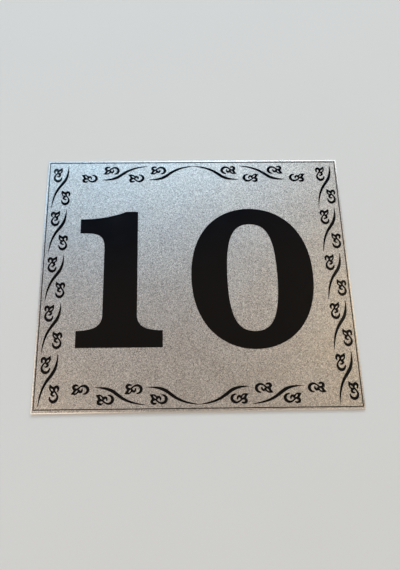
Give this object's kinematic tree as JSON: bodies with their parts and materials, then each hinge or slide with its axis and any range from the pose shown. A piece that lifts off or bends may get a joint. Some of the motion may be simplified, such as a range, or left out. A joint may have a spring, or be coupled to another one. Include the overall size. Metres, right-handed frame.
{
  "type": "house number plaque",
  "caption": "Flat rectangular sheet-metal plaque with bold black numerals inside a scrolling border and a hairline rule, fixed by its back to show a house number.",
  "frame": {"origin": "middle of the flat back, at the bottom centre of the bounding box; the plaque lies on its back, face up", "axes": "+X along the width, to the right as the numerals read; +Y towards the top of the numerals; +Z out of the printed face"},
  "size_m": [0.15, 0.1256, 0.0011],
  "materials": {
    "satin_aluminium": "satin, with a fine sparkle",
    "black_ink": "gloss"
  },
  "bodies": {
    "root": {"plate": "satin_aluminium", "edge_rule": "black_ink", "numeral_one": "black_ink", "numeral_zero": "black_ink", "scroll_border": "black_ink"}
  },
  "joints": []
}
